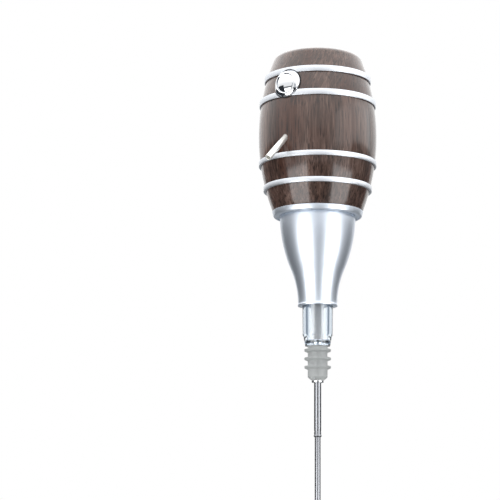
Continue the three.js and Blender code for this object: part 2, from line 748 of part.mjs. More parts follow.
// Pump: head with a downward air nipple, diaphragm, wobble plate, crank and motor on one axis
function addPump() {
  const pump = addGroup(0, pumpY, plateTopZ + seatGap);
  const headNippleDrop = plateThickness + airNippleLength;
  const nippleBoreRod = rod(nippleBore, -headNippleDrop - overrun, headFloor + overrun, screwSides);
  const head = joined(
    turned([
      [0, 0],
      [headRadius, 0],
      [headRadius, headHeight],
      [headRadius - headWall, headHeight],
      [headRadius - headWall, headFloor],
      [0, headFloor],
    ], innerSides),
    rod(airNippleRadius, -headNippleDrop, seatGap, smallSides));
  addPiece('pump_head', cut(head, nippleBoreRod), blackPlastic(), pump);

  const diaphragmZ = headFloor + seatGap;
  const bossTopZ = diaphragmZ + diaphragmThickness + diaphragmBossHeight;
  const innerRadius = headRadius - headWall - fitGap;
  addPiece('pump_diaphragm', turned([
    [0, diaphragmZ],
    [innerRadius, diaphragmZ],
    [innerRadius, diaphragmZ + diaphragmThickness],
    [diaphragmBossRadius, diaphragmZ + diaphragmThickness],
    [diaphragmBossRadius, bossTopZ],
    [0, bossTopZ],
  ], innerSides), silicone(), pump);

  const wobbleZ = bossTopZ + seatGap;
  const wobbleTopZ = wobbleZ + wobbleThickness + wobbleHubHeight;
  const socketRadius = crankOffset + crankPinRadius + fitGap;
  addPiece('wobble_plate', turned([
    [0, wobbleZ],
    [innerRadius - fitGap, wobbleZ],
    [innerRadius - fitGap, wobbleZ + wobbleThickness],
    [wobbleHubRadius, wobbleZ + wobbleThickness],
    [wobbleHubRadius, wobbleTopZ],
    [socketRadius, wobbleTopZ],
    [socketRadius, wobbleZ + wobbleThickness / 2],
    [0, wobbleZ + wobbleThickness / 2],
  ], innerSides), whitePlastic(), pump);

  const discZ = wobbleTopZ + fitGap;
  const motorZ = headHeight + seatGap;
  addPiece('crank_shaft', joined(
    rod(crankDiscRadius, discZ, discZ + crankDiscThickness, innerSides),
    rod(shaftRadius, discZ + seatGap, motorZ + shaftInMotor, smallSides),
    onAxis(rod(crankPinRadius, discZ - crankPinLength, discZ + seatGap, screwSides), 0, crankOffset)),
    steel(), pump);

  const motorTopZ = holderFootZ - motorHeadroom - plateTopZ - seatGap;
  const shaftRoom = shaftRadius + slipGap;
  addPiece('pump_motor', turned([
    [0, motorZ + shaftInMotor + fitGap],
    [shaftRoom, motorZ + shaftInMotor + fitGap],
    [shaftRoom, motorZ],
    [motorRadius, motorZ],
    [motorRadius, motorTopZ - motorRound],
    [motorRadius - motorRound, motorTopZ],
    [motorBossRadius, motorTopZ],
    [motorBossRadius, motorTopZ + motorBossHeight],
    [0, motorTopZ + motorBossHeight],
  ], innerSides), steel(), pump);
}

// Air line: two short hoses with the check valve between them
function addAirLine() {
  const valveY = (airNippleOffset + pumpY) / 2;
  const hoseBore = clearing(airNippleRadius + slipGap, hoseSides);
  const hoseFootZ = manifoldTopZ + clampRingHeight;
  const hoseTopZ = plateTopZ - plateThickness - seatGap;
  const valveFootZ = (hoseFootZ + hoseTopZ - valveHeight) / 2;
  const valveTopZ = valveFootZ + valveHeight;
  const rim = valveRadius + valveRimProud;
  const body = turned([
    [0, valveFootZ - airNippleLength],
    [airNippleRadius, valveFootZ - airNippleLength],
    [airNippleRadius, valveFootZ],
    [valveRadius, valveFootZ],
    [valveRadius, valveFootZ + valveHeight / 2 - valveRimHeight / 2],
    [rim, valveFootZ + valveHeight / 2 - valveRimHeight / 2],
    [rim, valveFootZ + valveHeight / 2 + valveRimHeight / 2],
    [valveRadius, valveFootZ + valveHeight / 2 + valveRimHeight / 2],
    [valveRadius, valveTopZ],
    [airNippleRadius, valveTopZ],
    [airNippleRadius, valveTopZ + airNippleLength],
    [0, valveTopZ + airNippleLength],
  ], smallSides);
  addPiece('check_valve', onAxis(body, 0, valveY), whitePlastic());

  const hose = (fromY, fromZ, toY, toZ) => tubeAlong(
    sBend(new THREE.Vector3(0, fromY, fromZ), new THREE.Vector3(0, toY, toZ),
      airNippleLength + fitGap, airNippleLength + fitGap),
    hoseBore + hoseWall, hoseBore, hoseSides, 7);
  addPiece('air_hose_lower', hose(airNippleOffset, hoseFootZ, valveY, valveFootZ - seatGap), hoseSilicone());
  addPiece('air_hose_upper', hose(valveY, valveTopZ + seatGap, pumpY, hoseTopZ), hoseSilicone());
}

// Drink line: hose from the manifold to the elbow behind the spout
function addDrinkLine() {
  const corner = new THREE.Vector3(0, 0, -elbowCornerDepth)
    .applyAxisAngle(new THREE.Vector3(1, 0, 0), spoutTurn).add(spoutStart);
  const elbowBody = alongSpout(rod(elbowRadius, -elbowEndDepth, -spoutBossDepth - seatGap, innerSides));
  const hoseTopZ = corner.z - elbowHoseDrop;
  const nippleEndZ = hoseTopZ - elbowNippleLength;
  const nipple = onAxis(rod(liquidNippleRadius, nippleEndZ, corner.z, smallSides), 0, corner.y);
  const socket = alongSpout(
    rod(spoutRadius + seatGap, -spoutBossDepth - spoutSocketDepth - seatGap, 0, innerSides));
  const straightBore = alongSpout(rod(nippleBore, -elbowCornerDepth, 0, screwSides));
  const downBore = onAxis(rod(nippleBore, nippleEndZ - overrun, corner.z, screwSides), 0, corner.y);
  addPiece('spout_elbow', cut(joined(elbowBody, nipple), socket, straightBore, downBore), whitePlastic());

  const foot = new THREE.Vector3(0, 0, manifoldTopZ + clampRingHeight);
  const top = new THREE.Vector3(0, corner.y, hoseTopZ);
  addPiece('spout_hose', tubeAlong(
    sBend(foot, top, plateTopZ - foot.z, elbowNippleLength + fitGap),
    liquidHoseRadius, liquidHoseRadius - hoseWall, hoseSides, 16), hoseSilicone());

  const spout = addGroup(spoutStart.x, spoutStart.y, spoutStart.z);
  spout.rotation.x = spoutTurn;
  addPiece('spout_tube', turnedRing([
    [spoutBore, -spoutBossDepth - spoutSocketDepth],
    [spoutRadius, -spoutBossDepth - spoutSocketDepth],
    [spoutRadius, spoutReach - spoutRimRound],
    [spoutRadius - spoutRimRound, spoutReach],
    [spoutBore, spoutReach],
  ], innerSides), steel(), spout);
}

// Battery holder, cells and contacts
function addBatteries() {
  const floorTopZ = holderFootZ + holderFloor;
  const rimZ = floorTopZ + cellSpringHeight + cellLength - holderCellShown;
  const pocketRadius = cellRadius + fitGap;
  const cupRadius = cellSpacing / Math.SQRT2 + pocketRadius + holderWall;
  const earReach = postRing * Math.cos(postSpread * degree) + postRadius;
  const earDepth = postRing * Math.sin(postSpread * degree) + postRadius;
  const base = box(2 * earReach, 2 * earDepth, holderFloor).translate(0, 0, holderFootZ + holderFloor / 2);
  const padDepth = cupRadius + fitGap;
  const boardMiddleZ = buttonZ - boardDrop + boardHeight / 2;
  const pad = box(boardPadWidth, padDepth, boardHeight).translate(0, -padDepth / 2, boardMiddleZ);
  const pocketTopZ = Math.max(rimZ, boardMiddleZ + boardHeight / 2) + overrun;
  const pocket = rod(pocketRadius, floorTopZ, pocketTopZ, smallSides);
  const half = cellSpacing / 2;
  const cellPlaces = [[-half, -half], [half, -half], [half, half], [-half, half]];
  const screwHole = rod(screwRadius + fitGap, holderFootZ - overrun, floorTopZ + overrun, screwSides);
  const boardHole = facingFront(
    rod(screwRadius + seatGap, -boardScrewBite, overrun, screwSides), padDepth, boardMiddleZ);
  const boardHoleRise = boardHeight / 2 - screwHeadRadius - edgeMargin;
  addPiece('battery_holder', cut(
    joined(base, rod(cupRadius, holderFootZ + seatGap, rimZ, neckSides), pad),
    ...cellPlaces.map(([x, y]) => onAxis(pocket, x, y)),
    ...atPosts(screwHole),
    boardHole.clone().translate(0, 0, boardHoleRise),
    boardHole.clone().translate(0, 0, -boardHoleRise)), blackPlastic());

  const cellFootZ = floorTopZ + cellSpringHeight;
  cellPlaces.forEach(([x, y], i) => {
    const cell = turned([
      [0, cellFootZ],
      [cellRadius, cellFootZ],
      [cellRadius, cellFootZ + cellLength],
      [cellNubRadius, cellFootZ + cellLength],
      [cellNubRadius, cellFootZ + cellLength + cellNubHeight],
      [0, cellFootZ + cellLength + cellNubHeight],
    ], smallSides);
    addPiece(`battery_${i + 1}`, cell, cellJacket()).position.set(x, y, 0);
  });

  const spring = turned([
    [0, floorTopZ + seatGap],
    [cellSpringRadius, floorTopZ + seatGap],
    [cellSpringTipRadius, cellFootZ - seatGap],
    [0, cellFootZ - seatGap],
  ], screwSides);
  addCopies('battery_spring', cellPlaces.map(([x, y]) => onAxis(spring, x, y)), zincScrew);

  addCopies('holder_screw',
    atPosts(screw(floorTopZ + seatGap, holderFloor + postScrewBite - overrun)), zincScrew);

  // Control board on the holder's pad
  const boardBackY = padDepth + seatGap;
  const board = box(boardWidth, boardThickness, boardHeight)
    .translate(0, -boardBackY - boardThickness / 2, boardMiddleZ);
  const boardScrewRoom = facingFront(
    rod(screwRadius + fitGap, -overrun, boardThickness + overrun, screwSides), boardBackY, boardMiddleZ);
  addPiece('control_board', cut(board,
    boardScrewRoom.clone().translate(0, 0, boardHoleRise),
    boardScrewRoom.clone().translate(0, 0, -boardHoleRise)), boardGreen());
  const boardScrew = facingFront(
    screw(boardThickness + seatGap, boardThickness + boardScrewBite - fitGap), boardBackY, boardMiddleZ);
  addCopies('board_screw', [
    boardScrew.clone().translate(0, 0, boardHoleRise),
    boardScrew.clone().translate(0, 0, -boardHoleRise),
  ], zincScrew);
  return boardBackY + boardThickness;
}

// Button: the bezel stands on the curved barrel, its sleeve goes through the wall, and a nut holds it.
function addButton(boardFrontDepth) {
  const boreRadius = buttonRadius + slipGap;
  const rimZ = bezelHeight;
  const bezel = turnedRing([
    [boreRadius, -bezelSleeveDepth],
    [bezelSleeveRadius, -bezelSleeveDepth],
    [bezelSleeveRadius, -bezelSleeveDepth / 2],
    [bezelRadius, -bezelSleeveDepth / 2],
    ...arc(bezelRadius - bezelHeight, 0, bezelHeight, 0, quarterTurn, 4),
    [boreRadius, rimZ - bezelRimWidth / 2],
  ], buttonSides);
  const sleeveCore = rod(
    bezelSleeveRadius + seatGap, -bezelSleeveDepth - overrun, rimZ + overrun, buttonSides);
  const seat = cut(barrelForm(hoopSkin), facingFront(sleeveCore, bezelPlane, buttonZ));
  addPiece('button_bezel', cut(facingFront(bezel, bezelPlane, buttonZ), seat), chrome());

  const front = addGroup(0, -bezelPlane, buttonZ);
  front.rotation.x = quarterTurn;
  const nutZ = -bezelSleeveDepth + seatGap;
  addPiece('bezel_nut',
    pipe(bezelSleeveRadius + bezelNutWidth, bezelSleeveRadius + slipGap, nutZ, nutZ + bezelNutThickness,
      buttonSides), zincScrew(), front);

  const edgeZ = rimZ - buttonEdgeDepth;
  const flangeTopZ = -bezelSleeveDepth - fitGap;
  const flangeFootZ = flangeTopZ - buttonFlangeThickness;
  const wellRadius = buttonRadius - buttonWall;
  const wellTopZ = edgeZ - buttonWall;
  addPiece('button_cap', turned([
    [0, flangeFootZ],
    [buttonStemRadius, flangeFootZ],
    [buttonStemRadius, wellTopZ],
    [wellRadius, wellTopZ],
    [wellRadius, flangeFootZ],
    [buttonRadius + buttonFlangeWidth, flangeFootZ],
    [buttonRadius + buttonFlangeWidth, flangeTopZ],
    [buttonRadius, flangeTopZ],
    [buttonRadius, edgeZ],
    [buttonRadius - buttonEdgeRound, edgeZ + buttonEdgeRound],
    ...domeProfile(buttonRadius - buttonEdgeRound, edgeZ + buttonEdgeRound, buttonDome, 4).slice(1),
  ], buttonSides), chrome(), front);

  // The switch stands on the board, and its plunger reaches the cap's stem
  const switchBackZ = boardFrontDepth - bezelPlane + seatGap;
  const switchFrontZ = switchBackZ + switchThickness;
  const plungerTopZ = flangeFootZ - seatGap;
  const plungerFootZ = switchFrontZ - plungerHidden;
  const plungerRoom = rod(plungerRadius + slipGap, plungerFootZ - buttonTravel - fitGap,
    switchFrontZ + overrun, smallSides);
  const switchBlock = box(switchSide, switchSide, switchThickness)
    .translate(0, 0, switchBackZ + switchThickness / 2);
  addPiece('switch_body', cut(switchBlock, plungerRoom), blackPlastic(), front);
  addPiece('switch_plunger',
    rod(plungerRadius, plungerFootZ, plungerTopZ, smallSides), whitePlastic(), front);
}

// A shallow dome from the rim to the axis, as part of a circle
function domeProfile(radius, z, rise, steps) {
  const sphere = (radius ** 2 + rise ** 2) / (2 * rise);
  const edge = Math.acos(radius / sphere);
  return arc(0, z + rise - sphere, sphere, edge, quarterTurn, steps)
    .map(([r, height], i) => [i === steps ? 0 : r, height]);
}

// Two leads from the board's foot, round the front of the holder's base, to the motor's back
function addLeads(boardFrontDepth) {
  const leadY = -boardFrontDepth + boardThickness / 2;
  const boardFootZ = buttonZ - boardDrop - seatGap;
  const motorBackZ = holderFootZ - motorHeadroom;
  const runZ = holderFootZ - leadRunShare * motorHeadroom;
  const leads = [-leadSpacing / 2, leadSpacing / 2].map((x) => tubeAlong(
    new THREE.CatmullRomCurve3([
      new THREE.Vector3(x, leadY, boardFootZ),
      new THREE.Vector3(x, leadY, holderFootZ),
      new THREE.Vector3(x, leadTurnShare * leadY, runZ),
      new THREE.Vector3(x, leadRunShare * pumpY, runZ),
      new THREE.Vector3(x, pumpY - motorBossRadius, motorBackZ + seatGap + leadRadius),
    ]), leadRadius, 0, leadSides, 10));
  addCopies('motor_lead', leads, copperLead);
}

addBarrel();
addCover();
addHoops();
addBaseRing();
addCone();
addNeck();
addManifold();
addSuctionLine();
addChassis();
addPump();
addAirLine();
addDrinkLine();
const boardFrontDepth = addBatteries();
addButton(boardFrontDepth);
addLeads(boardFrontDepth);

export default pourer;
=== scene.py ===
# Looks of the electric cider pourer: a wood-printed barrel with silver hoops on a satin cone, with a clear
# stopper neck, a chrome push button, a spout and a telescopic suction tube.

import math

import bpy
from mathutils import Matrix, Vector


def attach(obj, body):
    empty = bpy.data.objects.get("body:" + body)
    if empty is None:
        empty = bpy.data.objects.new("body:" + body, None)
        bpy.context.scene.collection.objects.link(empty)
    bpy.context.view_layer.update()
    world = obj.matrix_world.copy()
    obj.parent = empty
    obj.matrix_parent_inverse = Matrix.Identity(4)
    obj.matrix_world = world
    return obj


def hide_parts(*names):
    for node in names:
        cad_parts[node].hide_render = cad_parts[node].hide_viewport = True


MM = 0.001
FULL_TURN = 2 * math.pi
QUARTER_TURN = math.pi / 2

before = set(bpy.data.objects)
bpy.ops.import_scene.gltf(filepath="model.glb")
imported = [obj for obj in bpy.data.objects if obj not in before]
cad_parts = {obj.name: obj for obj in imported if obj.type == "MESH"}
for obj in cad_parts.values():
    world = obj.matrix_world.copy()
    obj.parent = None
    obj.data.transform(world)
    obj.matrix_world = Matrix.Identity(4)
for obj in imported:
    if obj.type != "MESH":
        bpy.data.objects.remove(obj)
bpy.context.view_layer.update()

# Sizes in millimetres, with heights from the clear neck's foot, as in the model. The belly and the spout
# are a hair smaller, to stay inside the model's box.
BARREL_FOOT = 99.7
BARREL_TOP = 217.2
BELLY_Z = 156.4525
BELLY_RADIUS = 43.695
STAVE_ARC = 158.595
WALL = 2.4
SHOULDER = 6.0
SHELL_SEAM = 180.3
COVER_SEAM = 198.7
SEAM_GAP = 0.1
SPIGOT_GAP = 0.3
SPIGOT_WALL = 1.8
SPIGOT_HEIGHT = 5

HOOP_PROUD = 1.05
WIDE_HOOP = 4.35
NARROW_HOOP = 3.7
LOWER_HOOP_Z = 133.1
BOTTOM_HOOP_Z = 114.4

BUTTON_Z = 188.1
BUTTON_RADIUS = 7.1
BUTTON_BORE = 7.22
BEZEL_RADIUS = 10.5
BEZEL_HEIGHT = 2.4
BEZEL_SLEEVE = 8.4
BEZEL_DEPTH = 9.0
# The black ring round the bezel's foot is painted shadow: it stands for the shadow gap there.
SHADOW_RING_RADIUS = 11.0
SHADOW_RING_PROUD = 0.6

SPOUT_Z = 147.0
SPOUT_TILT = math.radians(41)
SPOUT_RADIUS = 2.25
SPOUT_BORE = 1.45
SPOUT_REACH = 28.5
SPOUT_ROOT = -11

CONE_TOP = 95.9
RING_TOP = 33.55
RING_BORE = 22.6
RING_LIP = RING_TOP - 0.75
RING_RECESS = RING_LIP - 2.3
NECK_SHOWN = 29.3
CONE_TOP_RADIUS = RING_RECESS - 2.65
CONE_FOOT_RADIUS = 14.3
CONE_LOW = NECK_SHOWN + 1.2
CONE_HIGH = CONE_TOP + 1.3
CONE_BEND = NECK_SHOWN + 27.5
CONE_WALL = 1.8
LEDGE_Z = NECK_SHOWN + 14.7
LEDGE_BORE = 13.85

NECK_TOP_RADIUS = 11.35
NECK_FLANGE_RADIUS = 13.55
FERRULE_BORE = 2.72
FERRULE_RADIUS = 3.47
FERRULE_HOLE = 3.57
FERRULE_FLANGE = 4.4
FERRULE_FOOT = -25.2
SLEEVE_TOP = 48.0

PLUG_RADIUS = 7.2
FIN_RADIUS = 9.7
FIN_PITCH = 6.2
OUTER_TUBE_RADIUS = 2.6
OUTER_TUBE_BORE = 2.3
OUTER_TUBE_FOOT = -66
OUTER_TUBE_TOP = 44
INNER_TUBE_RADIUS = 2.15
INNER_TUBE_BORE = 1.8
INNER_TUBE_FOOT = -285
INNER_TUBE_TOP = -56

SMOOTH_ANGLE = 35

# Sides of a round piece, by its size
HOOP_SIDES = 192
LARGE_SIDES = 160
MEDIUM_SIDES = 128
SMALL_SIDES = 96
TUBE_SIDES = 64


# Modelling


def pick(*pieces):
    """Leaves edit mode and selects these pieces alone, the last of them active."""
    if bpy.context.object and bpy.context.object.mode == "EDIT":
        bpy.ops.object.mode_set(mode="OBJECT")
    bpy.ops.object.select_all(action="DESELECT")
    for piece in pieces:
        piece.select_set(True)
        bpy.context.view_layer.objects.active = piece


def turned(name, profile, sides=MEDIUM_SIDES):
    """Draws a profile of (radius, height) points in millimetres and spins it round the axis."""
    pick()
    bpy.ops.mesh.primitive_plane_add(size=MM)
    piece = bpy.context.object
    piece.name = piece.data.name = name
    bpy.ops.object.mode_set(mode="EDIT")
    bpy.ops.mesh.select_all(action="SELECT")
    bpy.ops.mesh.merge(type="CENTER")
    points = [Vector((radius * MM, 0, z * MM)) for radius, z in profile]
    bpy.ops.transform.translate(value=points[0])
    for here, there in zip(points, points[1:]):
        bpy.ops.mesh.extrude_vertices_move(TRANSFORM_OT_translate={"value": there - here})
    bpy.ops.mesh.select_all(action="SELECT")
    bpy.ops.mesh.spin(steps=sides, angle=FULL_TURN, center=(0, 0, 0), axis=(0, 0, 1))
    bpy.ops.mesh.select_all(action="SELECT")
    bpy.ops.mesh.remove_doubles(threshold=0.002 * MM)
    bpy.ops.mesh.normals_make_consistent(inside=False)
    bpy.ops.object.mode_set(mode="OBJECT")
    return piece


def ring(name, profile, sides=MEDIUM_SIDES):
    """A turned piece with a hole, whose profile closes on itself."""
    return turned(name, [*profile, profile[0]], sides)


def rod(name, radius, low, high, sides=SMALL_SIDES):
    return turned(name, [(0, low), (radius, low), (radius, high), (0, high)], sides)


def place(piece, turn_x, where):
    """Turns a piece about X, sets it down and keeps its own origin at the frame's."""
    pick(piece)
    piece.rotation_euler = (turn_x, 0, 0)
    piece.location = Vector(where) * MM
    bpy.ops.object.transform_apply(location=True, rotation=True, scale=True)
    return piece


def apply_modifier(piece, kind, **settings):
    pick(piece)
    modifier = piece.modifiers.new(kind.title(), kind)
    for key, value in settings.items():
        setattr(modifier, key, value)
    bpy.ops.object.modifier_apply(modifier=modifier.name)


def soften(piece, width, segments=3, angle=30):
    """Rounds every edge sharper than the angle."""
    apply_modifier(piece, "BEVEL", width=width * MM, segments=segments, limit_method="ANGLE",
                   angle_limit=math.radians(angle), harden_normals=False)


def cut(piece, operation, tool):
    apply_modifier(piece, "BOOLEAN", operation=operation, solver="EXACT", object=tool)
    bpy.data.objects.remove(tool)


def seat(piece, body, node, material):
    """Finishes a piece: shading, material, the body it rides on and the node it stands for, if any."""
    pick(piece)
    bpy.ops.object.shade_smooth_by_angle(angle=math.radians(SMOOTH_ANGLE))
    piece.data.materials.clear()
    piece.data.materials.append(material)
    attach(piece, body)
    if node:
        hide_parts(node)


def let_light_through(piece):
    """A clear piece casts no hard shadow, so what stands behind it stays lit."""
    piece.visible_shadow = piece.visible_diffuse = False


def steps_between(low, high, count):
    return [low + (high - low) * i / count for i in range(count + 1)]


def arc(centre_r, centre_z, radius, start, end, count):
    return [(centre_r + radius * math.cos(a), centre_z + radius * math.sin(a))
            for a in steps_between(start, end, count)]


# Barrel


def barrel_radius(z):
    return BELLY_RADIUS - STAVE_ARC + math.sqrt(STAVE_ARC ** 2 - (z - BELLY_Z) ** 2)


def staves(low, high, count, inset=0.0):
    return [(barrel_radius(z) - inset, z) for z in steps_between(low, high, count)]


# The shoulder's arc meets the staves' arc without a kink
SHOULDER_Z = BARREL_TOP - SHOULDER
SHOULDER_LEAN = math.asin((SHOULDER_Z - BELLY_Z) / (STAVE_ARC - SHOULDER))
SHOULDER_R = BELLY_RADIUS - STAVE_ARC + (STAVE_ARC - SHOULDER) * math.cos(SHOULDER_LEAN)
SHOULDER_START = SHOULDER_Z + SHOULDER * math.sin(SHOULDER_LEAN)

BEZEL_PLANE = barrel_radius(BUTTON_Z) + 1.0


def shoulder(inset, count):
    return arc(SHOULDER_R, SHOULDER_Z, SHOULDER - inset, SHOULDER_LEAN, QUARTER_TURN, count)


def spigot_radius(seam):
    return barrel_radius(seam) - WALL - SPIGOT_GAP


def on_bezel_plane(piece):
    """Lays a piece turned round the axis on its side, so that it faces the front where the button is."""
    return place(piece, QUARTER_TURN, (0, -BEZEL_PLANE, BUTTON_Z))


def along_spout(piece):
    return place(piece, QUARTER_TURN + SPOUT_TILT, (0, -barrel_radius(SPOUT_Z), SPOUT_Z))


def barrel_form(skin):
    """The barrel as one solid, thicker by a skin, as a tool to trim what sits on it."""
    return turned("barrel_form", [
        (0, BARREL_FOOT), *staves(BARREL_FOOT, SHOULDER_START, 48, -skin), *shoulder(-skin, 8),
        (0, BARREL_TOP + skin)], LARGE_SIDES)


def bezel_hole():
    return on_bezel_plane(rod("bezel_hole", BEZEL_SLEEVE + 0.3, -BEZEL_DEPTH - 1, 1))


def make_barrel(wood_lower, wood_upper):
    lower = ring("barrel_shell_lower", [
        *staves(BARREL_FOOT, SHELL_SEAM, 30),
        *reversed(staves(BARREL_FOOT, SHELL_SEAM, 12, WALL))], LARGE_SIDES)
    soften(lower, 0.25, 2)
    cut(lower, "DIFFERENCE", along_spout(rod("spout_hole", SPOUT_RADIUS + 0.15, -9, 6, TUBE_SIDES)))
    cut(lower, "DIFFERENCE", bezel_hole())
    seat(lower, "housing", "barrel_lower", wood_lower)

    spigot = spigot_radius(SHELL_SEAM)
    upper = ring("barrel_shell_upper", [
        (spigot - SPIGOT_WALL, SHELL_SEAM - SPIGOT_HEIGHT), (spigot, SHELL_SEAM - SPIGOT_HEIGHT),
        (spigot, SHELL_SEAM + SEAM_GAP), *staves(SHELL_SEAM + SEAM_GAP, COVER_SEAM - SEAM_GAP, 8),
        *reversed(staves(SHELL_SEAM + 5, COVER_SEAM - SEAM_GAP, 5, WALL))], LARGE_SIDES)
    soften(upper, 0.25, 2)
    cut(upper, "DIFFERENCE", bezel_hole())
    seat(upper, "housing", "barrel_upper", wood_upper)

    spigot = spigot_radius(COVER_SEAM)
    cover = turned("barrel_cover", [
        (0, BARREL_TOP - WALL), *reversed(shoulder(WALL, 8)), (spigot - SPIGOT_WALL, COVER_SEAM),
        (spigot - SPIGOT_WALL, COVER_SEAM - SPIGOT_HEIGHT), (spigot, COVER_SEAM - SPIGOT_HEIGHT),
        (spigot, COVER_SEAM), *staves(COVER_SEAM, SHOULDER_START, 6), *shoulder(0, 12)[1:],
        (0, BARREL_TOP)], LARGE_SIDES)
    soften(cover, 0.2, 2)
    cut(cover, "DIFFERENCE", on_bezel_plane(rod("nut_room", BEZEL_SLEEVE + 1.8, -20, 0)))
    seat(cover, "battery_cover", "battery_cover", wood_upper)


def make_hoops(silver):
    hoops = {
        "hoop_top": (COVER_SEAM - WIDE_HOOP / 2, WIDE_HOOP, "battery_cover"),
        "hoop_upper": (SHELL_SEAM - WIDE_HOOP / 2, WIDE_HOOP, "housing"),
        "hoop_lower": (LOWER_HOOP_Z, NARROW_HOOP, "housing"),
        "hoop_bottom": (BOTTOM_HOOP_Z, NARROW_HOOP, "housing"),
    }
    for name, (low, width, body) in hoops.items():
        high = low + width
        radius = max(barrel_radius(low), barrel_radius(high)) + HOOP_PROUD
        hoop = ring("silver_" + name, [
            (radius, low), (radius, high), *reversed(staves(low, high, 3, -0.05))], HOOP_SIDES)
        soften(hoop, 0.28, 3)
        if low > SPOUT_Z:
            cut(hoop, "DIFFERENCE", on_bezel_plane(
                rod("bezel_room", SHADOW_RING_RADIUS + 0.1, -BEZEL_DEPTH, BEZEL_DEPTH)))
        seat(hoop, body, name, silver)


# Cone and neck


def cone_radius(z):
    """Two arcs that meet in the bend: the shoulder bulges out above it, and the neck curves in below."""
    lean = 2 * math.atan((CONE_TOP_RADIUS - CONE_FOOT_RADIUS) / (CONE_HIGH - CONE_LOW))
    shoulder_arc = (CONE_HIGH - CONE_BEND) / math.sin(lean)
    neck_arc = (CONE_BEND - CONE_LOW) / math.sin(lean)
    if z > CONE_BEND:
        return CONE_TOP_RADIUS - shoulder_arc + math.sqrt(shoulder_arc ** 2 - (CONE_HIGH - z) ** 2)
    rise = max(z - CONE_LOW, 0)
    return CONE_FOOT_RADIUS + neck_arc - math.sqrt(neck_arc ** 2 - rise ** 2)


def make_base_ring(silver):
    spigot = spigot_radius(BARREL_FOOT)
    lip = CONE_TOP - 0.5
    base = ring("silver_base_ring", [
        (RING_BORE, CONE_TOP + 0.1), (RING_RECESS, CONE_TOP + 0.1), (RING_RECESS, lip),
        *arc(RING_LIP - 1.5, lip + 1.5, 1.5, -QUARTER_TURN, 0, 8),
        (RING_TOP, BARREL_FOOT - SEAM_GAP), (spigot, BARREL_FOOT - SEAM_GAP),
        (spigot, BARREL_FOOT + SPIGOT_HEIGHT), (spigot - SPIGOT_WALL, BARREL_FOOT + SPIGOT_HEIGHT),
        (spigot - SPIGOT_WALL, CONE_TOP + 2.6), (RING_BORE, CONE_TOP + 2.6)], LARGE_SIDES)
    soften(base, 0.18, 2)
    seat(base, "housing", "base_ring", silver)


def make_cone(silver):
    flange = CONE_TOP - 3.5
    lip_radius = CONE_FOOT_RADIUS + 0.25
    neck_hole = NECK_TOP_RADIUS + 0.3
    skirt = ring("satin_cone", [
        (neck_hole, NECK_SHOWN), (lip_radius, NECK_SHOWN), (lip_radius, CONE_LOW),
        *[(cone_radius(z), z) for z in steps_between(CONE_LOW + 0.25, CONE_TOP, 40)],
        (RING_BORE, CONE_TOP), (RING_BORE, flange),
        *[(cone_radius(z) - CONE_WALL, z) for z in reversed(steps_between(LEDGE_Z + 4, flange, 14))],
        (LEDGE_BORE, LEDGE_Z + 2), (LEDGE_BORE, LEDGE_Z), (neck_hole, LEDGE_Z)], LARGE_SIDES)
    soften(skirt, 0.15, 2, 40)
    seat(skirt, "housing", "cone_skirt", silver)


def make_neck(clear):
    flange_low = LEDGE_Z + 1.6
    flange_high = LEDGE_Z + 4.0
    outside = [(9.15, 0), (10.45, 6.9), (11.0, 8.0), (NECK_TOP_RADIUS, flange_low)]
    rounded_floor = [*arc(5.3, 5.1, 2.0, 0, -QUARTER_TURN, 8), (FERRULE_HOLE, 3.1)]
    neck = ring("clear_stopper_neck", [
        (FERRULE_HOLE, 0), *outside, (NECK_FLANGE_RADIUS, flange_low), (NECK_FLANGE_RADIUS, flange_high),
        (7.65, flange_high), *rounded_floor])
    soften(neck, 0.2, 3, 12)
    seat(neck, "housing", "clear_neck", clear)
    let_light_through(neck)


def make_riser(bright_steel, frosted):
    """The ferrule that runs through the neck's floor, and the sleeve above it, which widens slowly."""
    ferrule = ring("steel_ferrule", [
        (FERRULE_BORE, FERRULE_FOOT - 1.4), (FERRULE_FLANGE, FERRULE_FOOT - 1.4),
        (FERRULE_FLANGE, FERRULE_FOOT), (FERRULE_RADIUS, FERRULE_FOOT), (FERRULE_RADIUS, 3.2),
        (FERRULE_FLANGE, 3.2), (FERRULE_FLANGE, 4.4), (FERRULE_BORE, 4.4)], SMALL_SIDES)
    soften(ferrule, 0.15, 2)
    seat(ferrule, "housing", "tube_ferrule", bright_steel)

    outside = [(4.0, 4.5), (4.25, 18.4), (4.6, 24), (4.7, 30), (4.7, SLEEVE_TOP)]
    sleeve = ring("clear_riser_sleeve", [
        (FERRULE_BORE, 4.5), *outside, (FERRULE_BORE, SLEEVE_TOP)], SMALL_SIDES)
    soften(sleeve, 0.15, 2)
    seat(sleeve, "housing", "riser_sleeve", frosted)
    let_light_through(sleeve)


def make_plug(soft_plug):
    fins = []
    for i in range(3):
        top = -2.6 - FIN_PITCH * i
        fins += [(PLUG_RADIUS, top), (FIN_RADIUS - 0.15, top + 0.3), (FIN_RADIUS, top + 0.1),
                 (FIN_RADIUS, top - 1.05), (FIN_RADIUS - 0.2, top - 1.2), (PLUG_RADIUS, top - 2.2)]
    plug = ring("finned_plug", [
        (FERRULE_HOLE, -0.1), (PLUG_RADIUS, -0.1), *fins, (PLUG_RADIUS, -22.8), (4.4, -25.1),
        (FERRULE_HOLE, -25.1)])
    soften(plug, 0.2, 2, 40)
    seat(plug, "housing", "stopper_plug", soft_plug)


